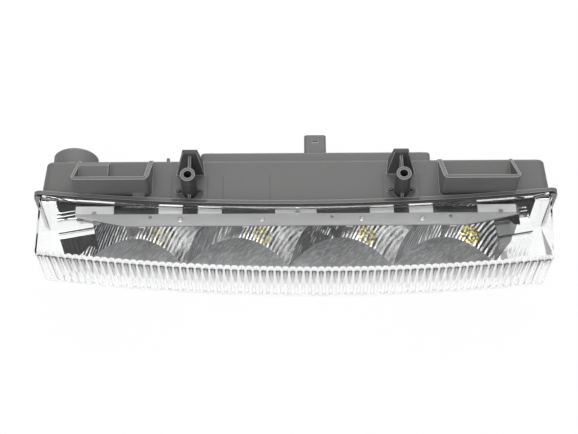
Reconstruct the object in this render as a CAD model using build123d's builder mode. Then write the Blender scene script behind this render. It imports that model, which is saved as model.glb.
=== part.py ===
from build123d import *
import os
from math import hypot, sqrt

# Daytime running light, in millimetres. +X is to the right seen from the front, -Y is the way the
# light leaves, +Z is up. The origin is midway between the two screw bosses, on their seating faces.

# Lamp body
lamp_width = 253.0          # over the flange
lens_height = 30.5
lens_depth = 33.0           # joint face to front corner, at the lamp's ends
front_bow = 7.5             # how far the front face stands forward at mid width
front_skew = 2.0            # front face further forward at the right end, and back at the left
flange_bow = 6.5            # the same for the joint between lens and housing
flange_lip = 3.2            # flange above and below the lens
flange_end_lip = 2.8        # flange beyond each end of the lens
flange_corner = 4.0

# Screw bosses
boss_span = 102.2
boss_height = 17.6          # seating face above the housing's top wall
boss_setback = 2.0          # boss axis behind the joint face at the lamp's ends
boss_radius = 3.5
boss_foot_radius = 4.0
boss_hole_radius = 2.0
boss_hole_depth = 13.0
boss_rib = 1.2
boss_rib_reach = 7.0        # rib foot from the boss axis
boss_rib_drop = 7.0         # rib top below the seating face
tower_start = 8.3           # hollow tower behind each boss
tower_start_half = 7.4
tower_foot_half = 6.0       # at the rear wall
tower_top_half = 3.4
tower_top_depth = 2.4
tower_height = 10.8
tower_wall = 1.4
tower_edge = 0.8

# Lens
lens_wall = 2.6
lens_flange = 1.8
lens_edge = 1.2
flute_count = 72
flute_depth = 0.8

# Bead between the flanges
bead_thickness = 0.5
bead_width = 2.4
bead_inset = 0.6

# Housing
housing_inset = 0.1         # each end of the housing inside the lens's end
housing_depth = 19.6        # joint face at the ends to rear wall
housing_wall = 2.2
housing_flange = 1.9
housing_corner = 4.0
housing_rear_edge = 1.4
side_draft = 1.4            # how much each end leans in from joint to rear wall
top_draft = 0.4

# Bracket hooks
hook_inner = 69.6
hook_outer = 106.3
hook_height = 17.6          # above the top wall
hook_front = 0.6            # front wall ahead of the joint face at the lamp's ends
hook_wall = 1.6
hook_gusset_inner = 2.2
hook_gusset_outer = 1.4
hook_corner = 2.4
hook_step_width = 15.0      # raised floor in the left hook
hook_step_height = 5.0
hook_notch_width = 5.4
hook_notch_height = 4.0
hook_notch_offset = 6.2     # from the hook's inner side
nub_radius = 0.8
nub_length = 1.8
nub_x = -62.5

# Reflector
cell_count = 4
cell_pitch = 50.2
cell_shift = 0.8            # the row of cells sits off the lamp's centre
bowl_focus = 10.8
floor_gap = 0.4             # under the cell floors, above the lens's bottom wall
facet_count = 16
reflector_shell = 1.8
reflector_floor = 1.3
mouth_gap = 4.2             # cell mouths behind the lens flutes
land_thickness = 1.6
land_rear_ahead = 3.3       # ahead of the joint face at the lamp's ends, as are the next ones
wing_ahead = 15.3           # the wing's top, its ledge stands further ahead
wing_ledge = 4.7
wing_step_drop = 3.8        # ledge below the wing's top
wing_gap = 6.0              # between each wing and the lens's end
wing_wall = 1.4
lug_width = 10.0
lug_drop = 10.5
lug_thickness = 1.8
lug_screw_drop = 6.4

# Carrier strip, board and light sources
carrier_gap = 1.6           # below the lens's top wall
carrier_thickness = 1.5
carrier_end_reach = 6.1     # beyond half the row of cells
carrier_ahead = 13.9        # ahead of the joint face at the lamp's ends, as are the next ones
carrier_end_ahead = 8.3
carrier_rear_ahead = 8.2
tongue_ahead = 3.8
led_ahead = 11.9
rivet_ahead = 11.2
peg_hole_ahead = 9.9
carrier_screw_ahead = 7.6
carrier_taper_half = 82.0
tongue_width = 11.5
tongue_offset = 9.5         # each side of a screw boss
middle_tongue = 20.0
end_land = 18.5
pad_thickness = 0.4
pad_edge = 0.6
board_thickness = 1.0
board_end = 3.5             # board inside each end of the carrier
board_setback = 0.4         # board edge behind the carrier's front edge
led_side = 3.2
led_height = 0.8
led_dome_radius = 1.3
rivet_xs = (-55.6, -16.2, 31.9, 61.1)
rivet_head_radius = 1.4
rivet_head_height = 0.5
rivet_radius = 0.8
peg_hole_xs = (-70.2, 17.4, 74.6)
peg_hole_radius = 0.9
carrier_screw_inset = 2.2   # end screws inside the row of cells
carrier_screw_radius = 1.2
carrier_screw_head = 2.3
carrier_screw_head_height = 1.4

# Fasteners and fits
screw_radius = 1.45
screw_head_radius = 2.8
screw_head_height = 1.8
screw_clearance = 0.25
fit_clearance = 0.05
post_radius = 3.5
lug_screw_length = 12.0
cover_screw_length = 13.5
screw_tip_room = 0.8
post_end_wall = 1.2

# Rear cover and plug
cover_x = 10.0
cover_width = 114.0
cover_height = 19.0
cover_depth = 7.2
cover_drop = 6.7            # cover top below the housing's top wall
cover_wall = 1.8
cover_corner = 2.0
cover_seal_thickness = 0.8
cover_screw_inset = 5.0
cover_post_radius = 3.0
plug_width = 10.9
plug_height = 8.6
plug_length = 11.5
plug_wall = 1.2
plug_corner = 1.6
plug_drop = 2.8             # plug top below the cover top
plug_window_width = 2.8
plug_window_length = 1.4
plug_window_setback = 4.2
pin_count = 3
pin_pitch = 2.6
pin_width = 1.2
pin_thickness = 0.7
pin_reach = 6.5

# Driver
driver_inset = 11.0         # board inside each end of the cover
driver_height = 14.0
driver_thickness = 1.4
driver_gap = 1.5            # board behind the housing's rear wall
standoff_radius = 2.0
standoff_inset = 5.0
window_width = 34.0         # opening in the rear wall that the tall parts reach through
window_height = 14.0
choke_radius = 5.0
choke_length = 7.0
choke_offset = -3.0
capacitor_radius = 3.0
capacitor_length = 8.0
capacitor_offsets = (6.5, 13.0)
chip_length = 6.0
chip_height = 5.0
chip_thickness = 1.4
chip_offsets = (-30.0, -16.0, 24.0)
lead_width = 1.4
lead_thickness = 0.6
lead_spacing = 2.4
lead_offset = -9.3
lead_drop = 3.5
lead_climb_start = 11.7     # behind the joint face at the lamp's ends
lead_climb_end = 2.7
lead_bend = 5.5

# Breather
vent_inset = 13.4           # from the housing's end
vent_spigot_radius = 8.0
vent_spigot_length = 8.3
vent_bore_radius = 5.4
vent_cap_radius = 11.1
vent_cap_wall = 2.0
vent_cap_gap = 0.2
vent_slot_width = 3.0
vent_slot_depth = 1.4
membrane_radius = 6.4
membrane_thickness = 0.6
vent_pocket_depth = 0.8

# Levels and planes worked out from the sizes above
lens_width = lamp_width - 2 * flange_end_lip
housing_width = lens_width - 2 * housing_inset
joint_y = -boss_setback
rear_y = joint_y + housing_depth
lens_top = -boss_height
lens_bottom = lens_top - lens_height
lens_middle = lens_top - lens_height / 2
flange_height = lens_height + 2 * flange_lip
rear_top = lens_top - top_draft
tower_top = lens_top + tower_height
carrier_top = lens_top - lens_wall - carrier_gap
carrier_bottom = carrier_top - carrier_thickness
board_top = carrier_bottom - pad_thickness
led_z = board_top - board_thickness
bowl_depth = led_z - reflector_floor - floor_gap - lens_bottom - lens_wall
lug_z = led_z - lug_screw_drop
land_rear = joint_y - land_rear_ahead
lug_front = land_rear - lug_thickness
wing_front = joint_y - wing_ahead
ledge_front = wing_front - wing_ledge
carrier_front = joint_y - carrier_ahead
carrier_end_front = joint_y - carrier_end_ahead
carrier_rear = joint_y - carrier_rear_ahead
tongue_rear = joint_y - tongue_ahead
led_y = joint_y - led_ahead
rivet_y = joint_y - rivet_ahead
peg_hole_y = joint_y - peg_hole_ahead
carrier_screw_y = joint_y - carrier_screw_ahead
vertex_y = led_y + bowl_focus
cell_xs = [cell_shift + (i - (cell_count - 1) / 2) * cell_pitch for i in range(cell_count)]
cell_edge_low = cell_xs[0] - cell_pitch / 2
cell_edge_high = cell_xs[-1] + cell_pitch / 2
lug_xs = [x + cell_pitch / 2 for x in cell_xs[:-1]]
wing_reach = lens_width / 2 - wing_gap
carrier_half = cell_count * cell_pitch / 2 + carrier_end_reach
board_half = carrier_half - board_end
carrier_screw_xs = (cell_edge_low + carrier_screw_inset, lug_xs[1], cell_edge_high - carrier_screw_inset)
boss_xs = (-boss_span / 2, boss_span / 2)
cover_top = lens_top - cover_drop
cover_z = cover_top - cover_height / 2
cover_front = rear_y + cover_seal_thickness
cover_back = cover_front + cover_depth
cover_screw_dx = cover_width / 2 - cover_screw_inset
cover_screw_dz = cover_height / 2 - cover_screw_inset
cover_screws_xz = [(cover_x + i * cover_screw_dx, cover_z + j * cover_screw_dz)
                   for i in (-1, 1) for j in (-1, 1)]
plug_z = cover_top - plug_drop - plug_height / 2
plug_rear = cover_back + plug_length
pin_xs = [cover_x + (i - (pin_count - 1) / 2) * pin_pitch for i in range(pin_count)]
driver_width = cover_width - 2 * driver_inset
standoff_reach = driver_width / 2 - standoff_inset
driver_front = rear_y + driver_gap
driver_back = driver_front + driver_thickness
window_x = cell_xs[2]
vent_x = vent_inset - housing_width / 2

# Arcs of the joint and of the front face, seen from above
bow_radius = (lamp_width / 2) ** 2 / (2 * flange_bow) + flange_bow / 2
bow_centre = joint_y - flange_bow + bow_radius
front_radius = (lens_width / 2) ** 2 / (2 * front_bow) + front_bow / 2
front_centre = joint_y - lens_depth - front_bow + front_radius


def bow_point(x, ahead=0.0):
    """A point of the joint's arc, moved ahead of the joint face."""
    return (x, bow_centre - sqrt((bow_radius + ahead) ** 2 - x ** 2))


def front_point(x, inside=0.0):
    """A point of the front face's arc, moved inside the lens."""
    arc_y = front_centre - sqrt((front_radius - inside) ** 2 - x ** 2)
    return (x, arc_y - front_skew * 2 * x / lens_width)


def front_plane(y, x=0.0, z=0.0):
    """An upright plane across the lamp: local x is X, local y is Z, its normal points forward."""
    return Plane(origin=(x, y, z), x_dir=(1, 0, 0), z_dir=(0, -1, 0))


def tub_size(y, inset):
    """Width and height of the tapered tub at a depth, less a wall on each side."""
    share = (y - joint_y) / housing_depth
    width = housing_width - 2 * (side_draft * share + inset)
    height = lens_height - 2 * (top_draft * share + inset)
    return width, height


def flange_rim(back, front, inset, opening_width, opening_height, opening_corner):
    """A ring that follows the bowed joint, from back to front ahead of the joint face."""
    half = lamp_width / 2 + flange_lip
    with BuildPart() as rim:
        with BuildSketch(Plane.XY.offset(lens_middle)):
            with BuildLine():
                rear_arc = ThreePointArc(bow_point(-half, back), bow_point(0, back),
                                         bow_point(half, back))
                front_arc = ThreePointArc(bow_point(half, front), bow_point(0, front),
                                          bow_point(-half, front))
                Line(rear_arc @ 1, front_arc @ 0)
                Line(front_arc @ 1, rear_arc @ 0)
            make_face()
        extrude(amount=flange_height, both=True)
        with BuildSketch(front_plane(joint_y, z=lens_middle)):
            RectangleRounded(lamp_width - 2 * inset, flange_height - 2 * inset, flange_corner - inset)
            RectangleRounded(opening_width, opening_height, opening_corner, mode=Mode.SUBTRACT)
        extrude(amount=lens_depth, both=True, mode=Mode.INTERSECT)
    return rim.part


def cell_space(behind, below):
    """The faceted bowl of one cell: strips across the width, each a parabola in its own depth."""
    facet = cell_pitch / facet_count
    depth = bowl_depth + below
    ahead = joint_y - lens_depth - 2 * front_bow
    with BuildPart() as space:
        for i in range(facet_count):
            x = -cell_pitch / 2 + i * facet
            start = vertex_y + behind - x ** 2 / (4 * bowl_focus)
            end = vertex_y + behind - (x + facet) ** 2 / (4 * bowl_focus)
            with BuildSketch(Plane.YZ.offset(x)):
                with BuildLine():
                    wall = Bezier((start, led_z), (start, led_z - depth / 2),
                                  (start - depth ** 2 / (4 * bowl_focus), led_z - depth))
                    Polyline(wall @ 1, (ahead, led_z - depth), (ahead, led_z), wall @ 0)
                make_face()
            extrude(amount=hypot(facet, end - start), dir=(facet, end - start, 0))
    return space.part


def tower_outline(share, inset):
    """A tower's outline at a share of its height, less a wall on each side."""
    front_half = tower_start_half + (tower_top_half - tower_start_half) * share - inset
    rear_half = tower_foot_half + (tower_top_half - tower_foot_half) * share - inset
    front = tower_start + (rear_y - tower_top_depth - tower_start) * share + inset
    rear = rear_y - inset
    return [(-front_half, front), (front_half, front), (rear_half, rear), (-rear_half, rear)]


os.makedirs("parts", exist_ok=True)

housing_rim = flange_rim(-housing_flange, 0, 0, *tub_size(joint_y - flange_bow, housing_wall),
                         housing_corner - housing_wall)

# Housing: tapered tub with the flange, ribbed bosses, bracket hooks, posts and breather spigot
with BuildPart() as housing:
    tub_front = joint_y - 2 * flange_bow
    for y in (tub_front, rear_y):
        with BuildSketch(front_plane(y, z=lens_middle)):
            RectangleRounded(*tub_size(y, 0), housing_corner)
    loft(ruled=True)
    fillet(housing.faces().sort_by(Axis.Y)[-1].edges(), radius=housing_rear_edge)
    for y in (tub_front, rear_y - housing_wall):
        with BuildSketch(front_plane(y, z=lens_middle)):
            RectangleRounded(*tub_size(y, housing_wall), housing_corner - housing_wall)
    loft(ruled=True, mode=Mode.SUBTRACT)

    # Tower behind each boss, rising from the top wall to a small top at the rear
    for x in boss_xs:
        with BuildSketch(Plane(origin=(x, 0, rear_top - housing_rear_edge))):
            Polygon(*tower_outline(0, 0), align=None)
        with BuildSketch(Plane(origin=(x, 0, tower_top))):
            Polygon(*tower_outline(1, 0), align=None)
        loft(ruled=True)
    fillet(housing.faces().sort_by(Axis.Z)[-2:].edges(), radius=tower_edge)

    # Bosses on four ribs each, the rear one reaching to the tower
    for x in boss_xs:
        with BuildSketch(Plane(origin=(x, 0, 0))):
            Circle(boss_radius)
        with BuildSketch(Plane(origin=(x, 0, lens_top - housing_wall / 2))):
            Circle(boss_foot_radius)
        loft()
        with BuildSketch(Plane.YZ.offset(x)):
            with BuildLine():
                Polyline((-boss_rib_reach, lens_top - housing_wall / 2), (-boss_rib_reach, lens_top),
                         (0, -boss_rib_drop), (rear_y - tower_top_depth, tower_top - tower_wall),
                         (rear_y - tower_top_depth, lens_top - housing_wall / 2), close=True)
            make_face()
        extrude(amount=boss_rib / 2, both=True)
        with BuildSketch(front_plane(0, x)):
            with BuildLine():
                Polyline((-boss_rib_reach, lens_top - housing_wall / 2), (-boss_rib_reach, lens_top),
                         (0, -boss_rib_drop), (boss_rib_reach, lens_top),
                         (boss_rib_reach, lens_top - housing_wall / 2), close=True)
            make_face()
        extrude(amount=boss_rib / 2, both=True)
        core_height = tower_height - 2 * tower_wall
        with BuildSketch(Plane(origin=(x, 0, lens_top - housing_wall))):
            Polygon(*tower_outline(0, tower_wall), align=None)
        extrude(amount=-top_draft, mode=Mode.SUBTRACT)
        with BuildSketch(Plane(origin=(x, 0, lens_top - housing_wall))):
            Polygon(*tower_outline(0, tower_wall), align=None)
        with BuildSketch(Plane(origin=(x, 0, lens_top + core_height))):
            Polygon(*tower_outline(core_height / tower_height, tower_wall), align=None)
        loft(ruled=True, mode=Mode.SUBTRACT)

    # Bracket hooks: a U of walls, cut to a slope that ends at the rear edge
    hook_y = -hook_front + joint_y
    for side in (-1, 1):
        middle = side * (hook_inner + hook_outer) / 2
        with BuildSketch(Plane(origin=(middle, hook_y, lens_top - housing_wall / 2))) as hook_plan:
            Rectangle(hook_outer - hook_inner, rear_y - hook_y, align=(Align.CENTER, Align.MIN))
            fillet(hook_plan.vertices().group_by(Axis.Y)[0], radius=hook_corner)
            with Locations((side * (hook_gusset_inner - hook_gusset_outer) / 2, hook_wall)):
                Rectangle(hook_outer - hook_inner - hook_gusset_inner - hook_gusset_outer,
                          housing_depth, align=(Align.CENTER, Align.MIN), mode=Mode.SUBTRACT)
        extrude(amount=housing_wall / 2 + hook_height)
        if side < 0:
            with BuildSketch(Plane.XY.offset(lens_top - housing_wall / 2)):
                with Locations((-hook_outer + hook_gusset_outer / 2, hook_y + hook_wall / 2)):
                    Rectangle(hook_step_width, housing_depth - hook_corner,
                              align=(Align.MIN, Align.MIN))
            extrude(amount=housing_wall / 2 + hook_step_height)
            with BuildSketch(front_plane(hook_y, x=-hook_inner - hook_notch_offset, z=lens_top)):
                Rectangle(hook_notch_width, hook_notch_height, align=(Align.CENTER, Align.MIN))
            extrude(amount=-hook_wall, mode=Mode.SUBTRACT)
        with BuildSketch(Plane.YZ.offset(middle)):
            with BuildLine():
                Polyline((hook_y + hook_wall, lens_top + hook_height), (rear_y, rear_top),
                         (rear_y + hook_wall, rear_top),
                         (rear_y + hook_wall, lens_top + 2 * hook_height),
                         (hook_y + hook_wall, lens_top + 2 * hook_height), close=True)
            make_face()
        extrude(amount=(hook_outer - hook_inner) / 2 + hook_wall, both=True, mode=Mode.SUBTRACT)

    # Nothing stands ahead of the joint face, and the flange closes it
    with BuildSketch(Plane.XY.offset(lens_middle)):
        with BuildLine():
            joint_arc = ThreePointArc(bow_point(-lamp_width / 2), bow_point(0), bow_point(lamp_width / 2))
            Polyline(joint_arc @ 1, (lamp_width / 2, joint_y - lens_depth),
                     (-lamp_width / 2, joint_y - lens_depth), joint_arc @ 0)
        make_face()
    extrude(amount=flange_height, both=True, mode=Mode.SUBTRACT)
    add(housing_rim)

    for x in boss_xs:
        with Locations((x, 0, 0)):
            Hole(boss_hole_radius, depth=boss_hole_depth)

    # Posts for the reflector and the rear cover
    for x in lug_xs:
        with BuildSketch(front_plane(land_rear, x, lug_z)):
            Circle(post_radius)
        extrude(amount=-(rear_y - housing_wall / 2 - land_rear))
    cover_pilot = cover_screw_length - (cover_back - rear_y) + screw_tip_room
    for x, z in cover_screws_xz:
        with BuildSketch(front_plane(rear_y - cover_pilot - post_end_wall, x, z)):
            Circle(cover_post_radius)
        extrude(amount=-(cover_pilot + post_end_wall - housing_wall / 2))
    with BuildSketch(front_plane(rear_y, vent_x, lens_middle)):
        Circle(vent_spigot_radius)
    extrude(amount=-vent_spigot_length)
    with BuildSketch(front_plane(rear_y, nub_x, rear_top - housing_rear_edge)):
        Circle(nub_radius)
    extrude(amount=-nub_length)

    # Openings through the rear wall, and pilot holes
    with BuildSketch(front_plane(rear_y, window_x, cover_z)):
        RectangleRounded(window_width, window_height, cover_corner)
    extrude(amount=housing_wall, mode=Mode.SUBTRACT)
    for x in lug_xs:
        with BuildSketch(front_plane(land_rear, x, lug_z)):
            Circle(screw_radius + fit_clearance)
        extrude(amount=-(lug_screw_length - lug_thickness + screw_tip_room), mode=Mode.SUBTRACT)
    for x, z in cover_screws_xz:
        with BuildSketch(front_plane(rear_y, x, z)):
            Circle(screw_radius + fit_clearance)
        extrude(amount=cover_pilot, mode=Mode.SUBTRACT)
    with BuildSketch(front_plane(rear_y + vent_spigot_length, vent_x, lens_middle)):
        Circle(vent_bore_radius)
    extrude(amount=vent_spigot_length + housing_wall, mode=Mode.SUBTRACT)
    with BuildSketch(front_plane(rear_y + vent_spigot_length, vent_x, lens_middle)):
        Circle(membrane_radius + fit_clearance)
    extrude(amount=membrane_thickness, mode=Mode.SUBTRACT)
housing.part.label = "housing"
export_step(housing.part, "parts/housing.step")

# Lens: a clear box open at the back, with upright flutes inside its bowed front
lens_half = lens_width / 2
inner_half = lens_half - lens_wall
lens_rim = flange_rim(bead_thickness, bead_thickness + lens_flange, 0, 2 * inner_half,
                      lens_height - 2 * lens_wall, lens_edge)
with BuildPart() as lens:
    with BuildSketch(Plane.XY.offset(lens_bottom)):
        with BuildLine():
            front_arc = ThreePointArc(front_point(-lens_half), front_point(0), front_point(lens_half))
            right_end = Line(front_arc @ 1, bow_point(lens_half, bead_thickness))
            rear_arc = ThreePointArc(right_end @ 1, bow_point(0, bead_thickness),
                                     bow_point(-lens_half, bead_thickness))
            Line(rear_arc @ 1, front_arc @ 0)
        make_face()
    extrude(amount=lens_height)
    fillet(lens.faces().sort_by(Axis.Y)[0].edges(), radius=lens_edge)
    with BuildSketch(Plane.XY.offset(lens_bottom + lens_wall)):
        with BuildLine():
            pitch = 2 * inner_half / flute_count
            for i in range(flute_count):
                x = -inner_half + i * pitch
                ThreePointArc(front_point(x, lens_wall),
                              front_point(x + pitch / 2, lens_wall + flute_depth),
                              front_point(x + pitch, lens_wall))
            Polyline(front_point(inner_half, lens_wall), (inner_half, rear_y), (-inner_half, rear_y),
                     front_point(-inner_half, lens_wall))
        make_face()
    extrude(amount=lens_height - 2 * lens_wall, mode=Mode.SUBTRACT)
    add(lens_rim)
lens.part.label = "lens"
export_step(lens.part, "parts/lens.step")

# Sealing bead between the two flanges
lens_seal = flange_rim(fit_clearance, bead_thickness - fit_clearance, bead_inset,
                       lamp_width - 2 * (bead_inset + bead_width),
                       flange_height - 2 * (bead_inset + bead_width),
                       flange_corner - bead_inset - bead_width)
lens_seal.label = "lens_seal"
export_step(lens_seal, "parts/lens_seal.step")

bowl_outside = cell_space(reflector_shell, reflector_floor)
bowl_inside = cell_space(0, 0)

# Reflector: four faceted half bowls under a flat land, a stepped wing at each end, lugs behind
with BuildPart() as reflector:
    with Locations(*[(x, 0, 0) for x in cell_xs]):
        add(bowl_outside)
    with BuildSketch(Plane.XY.offset(led_z)):
        with Locations((0, wing_front)):
            Rectangle(2 * wing_reach, land_rear - wing_front, align=(Align.CENTER, Align.MIN))
    extrude(amount=-land_thickness)
    for low, high in ((-wing_reach, cell_edge_low), (cell_edge_high, wing_reach)):
        outer = low if low < 0 else high - wing_wall
        with BuildSketch(Plane.XY.offset(led_z)):
            with Locations((low, wing_front)):
                Rectangle(high - low, wing_wall, align=(Align.MIN, Align.MIN))
        extrude(amount=-(wing_step_drop + land_thickness))
        with BuildSketch(Plane.XY.offset(led_z)):
            with Locations((outer, wing_front)):
                Rectangle(wing_wall, land_rear - wing_front, align=(Align.MIN, Align.MIN))
        extrude(amount=-(bowl_depth + reflector_floor))
        with BuildSketch(Plane.XY.offset(led_z - wing_step_drop)):
            with Locations((low, ledge_front)):
                Rectangle(high - low, wing_ledge, align=(Align.MIN, Align.MIN))
        extrude(amount=-land_thickness)
        with BuildSketch(Plane.XY.offset(led_z - wing_step_drop)):
            with Locations((low, ledge_front)):
                Rectangle(high - low, wing_wall, align=(Align.MIN, Align.MIN))
            with Locations((outer, ledge_front)):
                Rectangle(wing_wall, wing_ledge, align=(Align.MIN, Align.MIN))
        extrude(amount=-(bowl_depth + reflector_floor - wing_step_drop))
    for x in lug_xs:
        with BuildSketch(front_plane(lug_front, x, led_z)) as lug:
            Rectangle(lug_width, lug_drop, align=(Align.CENTER, Align.MAX))
            fillet(lug.vertices().group_by(Axis.Y)[0], radius=lug_width / 4)
            with Locations((0, -lug_screw_drop)):
                Circle(screw_radius + screw_clearance, mode=Mode.SUBTRACT)
        extrude(amount=-lug_thickness)
    with Locations(*[(x, 0, 0) for x in cell_xs]):
        add(bowl_inside, mode=Mode.SUBTRACT)
    with BuildSketch(Plane.XY.offset(led_z)):
        with BuildLine():
            reach = lens_width / 2
            depth = lens_wall + flute_depth + mouth_gap
            mouth = ThreePointArc(front_point(-reach, depth), front_point(0, depth),
                                  front_point(reach, depth))
            ahead = joint_y - lens_depth - 3 * front_bow
            Polyline(mouth @ 1, (reach, ahead), (-reach, ahead), mouth @ 0)
        make_face()
    extrude(amount=-(bowl_depth + 2 * reflector_floor), mode=Mode.SUBTRACT)
    with BuildSketch(Plane.XY.offset(led_z)):
        with Locations(*[(x, carrier_screw_y) for x in carrier_screw_xs]):
            Circle(carrier_screw_radius + screw_clearance)
    extrude(amount=-land_thickness, mode=Mode.SUBTRACT)
reflector.part.label = "reflector"
export_step(reflector.part, "parts/reflector.step")

# LED board, facing down into the cells
with BuildPart() as led_board:
    with BuildSketch(Plane.XY.offset(led_z)):
        with Locations((0, carrier_front + board_setback)):
            Rectangle(2 * board_half, tongue_rear - carrier_front - board_setback,
                      align=(Align.CENTER, Align.MIN))
        for side in (-1, 1):
            with BuildLine():
                Polyline((side * carrier_taper_half, carrier_front),
                         (side * carrier_half, carrier_end_front - pad_edge + board_setback),
                         (side * carrier_half, carrier_front), close=True)
            make_face(mode=Mode.SUBTRACT)
        with Locations(*[(x, rivet_y) for x in rivet_xs]):
            Circle(rivet_radius + fit_clearance, mode=Mode.SUBTRACT)
        with Locations(*[(x, carrier_screw_y) for x in carrier_screw_xs]):
            Circle(carrier_screw_radius + screw_clearance, mode=Mode.SUBTRACT)
    extrude(amount=board_thickness)
led_board.part.label = "led_board"
export_step(led_board.part, "parts/led_board.step")

# One LED over each cell: a square package with a phosphor dome
with BuildPart() as led_packages:
    for x in cell_xs:
        with BuildSketch(Plane(origin=(x, led_y, led_z))):
            Rectangle(led_side, led_side)
        extrude(amount=-led_height)
        with Locations((x, led_y, led_z - led_height)):
            Sphere(led_dome_radius)
        with BuildSketch(Plane(origin=(x, led_y, led_z))):
            Rectangle(2 * led_side, 2 * led_side)
        extrude(amount=led_side, mode=Mode.SUBTRACT)
led_packages.part.label = "led_packages"
export_step(led_packages.part, "parts/led_packages.step")

# Heat-conducting pad between board and carrier
with BuildPart() as thermal_pad:
    with BuildSketch(Plane.XY.offset(board_top)):
        with Locations((0, carrier_front + board_setback + pad_edge)):
            Rectangle(2 * carrier_taper_half, carrier_rear - carrier_front - board_setback - 2 * pad_edge,
                      align=(Align.CENTER, Align.MIN))
        with Locations(*[(x, rivet_y) for x in rivet_xs]):
            Circle(rivet_radius + fit_clearance, mode=Mode.SUBTRACT)
    extrude(amount=pad_thickness)
thermal_pad.part.label = "thermal_pad"
export_step(thermal_pad.part, "parts/thermal_pad.step")

# Carrier: light metal strip with tongues behind it and full lands at its ends
with BuildPart() as led_carrier:
    with BuildSketch(Plane.XY.offset(carrier_bottom)):
        with BuildLine():
            Polyline((-carrier_half, carrier_rear), (-carrier_half, carrier_end_front - pad_edge),
                     (-carrier_taper_half, carrier_front), (carrier_taper_half, carrier_front),
                     (carrier_half, carrier_end_front - pad_edge), (carrier_half, carrier_rear),
                     close=True)
        make_face()
        tongues = [(0.0, middle_tongue)]
        for x in boss_xs:
            tongues += [(x - tongue_offset, tongue_width), (x + tongue_offset, tongue_width)]
        for side in (-1, 1):
            tongues.append((side * (carrier_half - end_land / 2), end_land))
        for x, width in tongues:
            with Locations((x, carrier_rear)):
                Rectangle(width, tongue_rear - carrier_rear, align=(Align.CENTER, Align.MIN))
        with Locations(*[(x, rivet_y) for x in rivet_xs]):
            Circle(rivet_radius + fit_clearance, mode=Mode.SUBTRACT)
        with Locations(*[(x, peg_hole_y) for x in peg_hole_xs]):
            Circle(peg_hole_radius, mode=Mode.SUBTRACT)
        with Locations(*[(x, carrier_screw_y) for x in carrier_screw_xs]):
            Circle(carrier_screw_radius + fit_clearance, mode=Mode.SUBTRACT)
    extrude(amount=carrier_thickness)
led_carrier.part.label = "led_carrier"
export_step(led_carrier.part, "parts/led_carrier.step")

# Rivets through carrier, pad and board
with BuildPart() as board_rivets:
    for x in rivet_xs:
        with BuildSketch(Plane(origin=(x, rivet_y, led_z))):
            Circle(rivet_radius)
        extrude(amount=carrier_top - led_z)
        with BuildSketch(Plane(origin=(x, rivet_y, carrier_top))):
            Circle(rivet_head_radius)
        extrude(amount=rivet_head_height)
board_rivets.part.label = "board_rivets"
export_step(board_rivets.part, "parts/board_rivets.step")

# Screws driven up through the reflector's land into the carrier
with BuildPart() as carrier_screws:
    for x in carrier_screw_xs:
        with BuildSketch(Plane(origin=(x, carrier_screw_y, led_z - land_thickness))):
            Circle(carrier_screw_head)
        extrude(amount=-carrier_screw_head_height)
        with BuildSketch(Plane(origin=(x, carrier_screw_y, led_z - land_thickness))):
            Circle(carrier_screw_radius)
        extrude(amount=carrier_top - led_z + land_thickness)
carrier_screws.part.label = "carrier_screws"
export_step(carrier_screws.part, "parts/carrier_screws.step")

# Screws through the reflector's lugs into the housing's posts
with BuildPart() as reflector_screws:
    for x in lug_xs:
        with BuildSketch(front_plane(lug_front, x, lug_z)):
            Circle(screw_head_radius)
        extrude(amount=screw_head_height)
        with BuildSketch(front_plane(lug_front, x, lug_z)):
            Circle(screw_radius)
        extrude(amount=-lug_screw_length)
reflector_screws.part.label = "reflector_screws"
export_step(reflector_screws.part, "parts/reflector_screws.step")

# Rear cover: low box over the driver, in one piece with the plug shroud
with BuildPart() as rear_cover:
    with BuildSketch(front_plane(cover_front, cover_x, cover_z)):
        RectangleRounded(cover_width, cover_height, cover_corner)
    extrude(amount=-cover_depth)
    fillet(rear_cover.faces().sort_by(Axis.Y)[-1].edges(), radius=cover_corner / 2)
    with BuildSketch(front_plane(cover_front, cover_x, cover_z)):
        RectangleRounded(cover_width - 2 * cover_wall, cover_height - 2 * cover_wall, cover_corner / 2)
    extrude(amount=-(cover_depth - cover_wall), mode=Mode.SUBTRACT)
    for x, z in cover_screws_xz:
        with BuildSketch(front_plane(rear_y, x, z)):
            Circle(cover_post_radius)
        extrude(amount=-(cover_back - cover_wall / 2 - rear_y))
    for side in (-1, 1):
        with BuildSketch(front_plane(driver_back, cover_x + side * standoff_reach, cover_z)):
            Circle(standoff_radius)
        extrude(amount=-(cover_back - cover_wall / 2 - driver_back))
    with BuildSketch(front_plane(cover_back - cover_wall / 2, cover_x, plug_z)):
        RectangleRounded(plug_width, plug_height, plug_corner)
    extrude(amount=-(plug_length + cover_wall / 2))
    with BuildSketch(front_plane(cover_back, cover_x, plug_z)):
        RectangleRounded(plug_width - 2 * plug_wall, plug_height - 2 * plug_wall, plug_corner / 2)
    extrude(amount=-plug_length, mode=Mode.SUBTRACT)
    with BuildSketch(Plane(origin=(cover_x, plug_rear - plug_window_setback, plug_z))):
        Rectangle(plug_window_width, plug_window_length)
    extrude(amount=plug_height, mode=Mode.SUBTRACT)
    for x in pin_xs:
        with BuildSketch(front_plane(cover_back, x, plug_z)):
            Rectangle(pin_width + 2 * fit_clearance, pin_thickness + 2 * fit_clearance)
        extrude(amount=cover_wall, mode=Mode.SUBTRACT)
    for x, z in cover_screws_xz:
        with BuildSketch(front_plane(cover_back, x, z)):
            Circle(screw_radius + screw_clearance)
        extrude(amount=cover_back - rear_y, mode=Mode.SUBTRACT)
rear_cover.part.label = "rear_cover"
export_step(rear_cover.part, "parts/rear_cover.step")

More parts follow.
